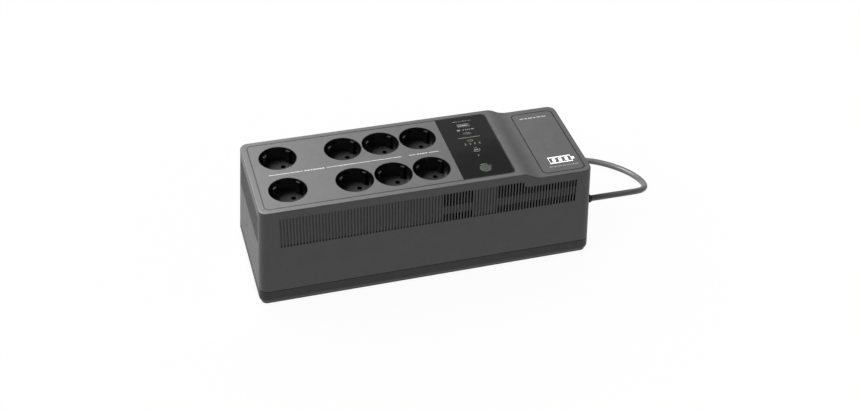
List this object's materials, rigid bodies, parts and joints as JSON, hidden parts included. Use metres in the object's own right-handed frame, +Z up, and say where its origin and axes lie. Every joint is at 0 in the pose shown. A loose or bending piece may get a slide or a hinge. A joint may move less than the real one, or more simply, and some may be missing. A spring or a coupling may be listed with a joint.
{
  "type": "uninterruptible power supply",
  "caption": "Long low uninterruptible power supply with earthed outlets in rows on its top, a glossy control panel with charging ports, a stepped end and a supply cord.",
  "frame": {"origin": "on the floor under the middle of the base", "axes": "+X along the length towards the supply cord, +Y to the back, +Z up"},
  "size_m": [0.4776, 0.2415, 0.1204],
  "materials": {
    "casing_grey": "fine moulded texture",
    "tray_black": "fine moulded texture",
    "outlet_black": "polished black moulding",
    "clip_metal": "plated spring strip",
    "contact_brass": "dull strip",
    "panel_gloss": "high gloss",
    "button_green": "grey green, faintly translucent",
    "light_green": "pale green light pipes",
    "switch_black": "plain moulding",
    "plug_black": "soft moulded",
    "cord_sheath": "smooth sheath",
    "shell_steel": "bright plated",
    "trim_white": "plain moulding and printed marks",
    "reset_black": "plain moulding",
    "board_green": "solder resist over glass fibre laminate",
    "relay_black": "plain moulding",
    "capacitor_sleeve": "shrunk sleeve",
    "heatsink_black": "extruded and dyed black",
    "transistor_black": "moulded package",
    "core_iron": "varnished laminations",
    "winding_tape": "brown insulating tape over the winding",
    "battery_case": "moulded case",
    "foot_rubber": "matt rubber",
    "pin_chrome": "nickel plated"
  },
  "bodies": {
    "casing": {"upper_housing": "casing_grey", "outlet_faceplate": "casing_grey", "end_plate": "casing_grey", "base_tray": "tray_black", "outlet_front_1": "outlet_black", "outlet_front_2": "outlet_black", "outlet_front_3": "outlet_black", "outlet_front_4": "outlet_black", "outlet_back_1": "outlet_black", "outlet_back_2": "outlet_black", "outlet_back_3": "outlet_black", "outlet_back_4": "outlet_black", "earth_clip_front_1": "clip_metal", "earth_clip_front_2": "clip_metal", "earth_clip_front_3": "clip_metal", "earth_clip_front_4": "clip_metal", "earth_clip_back_1": "clip_metal", "earth_clip_back_2": "clip_metal", "earth_clip_back_3": "clip_metal", "earth_clip_back_4": "clip_metal", "contacts_front_1": "contact_brass", "contacts_front_2": "contact_brass", "contacts_front_3": "contact_brass", "contacts_front_4": "contact_brass", "contacts_back_1": "contact_brass", "contacts_back_2": "contact_brass", "contacts_back_3": "contact_brass", "contacts_back_4": "contact_brass", "live_busbars": "contact_brass", "neutral_busbars": "contact_brass", "control_panel": "panel_gloss", "light_pipes": "light_green", "power_switch": "switch_black", "circuit_breaker": "switch_black", "strain_relief": "switch_black", "plug": "plug_black", "cord": "cord_sheath", "cord_coil": "cord_sheath", "usb_a_shell": "shell_steel", "usb_c_shell": "shell_steel", "housing_screws": "shell_steel", "battery_terminals": "shell_steel", "usb_tongues": "trim_white", "panel_board": "board_green", "main_board": "board_green", "relays": "relay_black", "capacitors": "capacitor_sleeve", "heatsink": "heatsink_black", "power_transistors": "transistor_black", "transformer_core": "core_iron", "transformer_strap": "core_iron", "transformer_winding": "winding_tape", "battery": "battery_case", "rubber_feet": "foot_rubber", "plug_pins": "pin_chrome"},
    "power_button": {"power_button": "button_green"},
    "reset_button": {"reset_button": "reset_black"},
    "battery_door": {"battery_door": "tray_black"}
  },
  "joints": [
    {"name": "power_button_press", "type": "slide", "parent": "casing", "child": "power_button", "axis": [0, 0, -1], "range_m": [0, 0.001], "stiffness_N_per_m": 600, "springref_m": -0.0005},
    {"name": "reset_button_pop", "type": "slide", "parent": "casing", "child": "reset_button", "axis": [1, 0, 0], "range_m": [0, 0.003]},
    {"name": "battery_door_slide", "type": "slide", "parent": "casing", "child": "battery_door", "axis": [0, 1, 0], "range_m": [0, 0.112]}
  ]
}
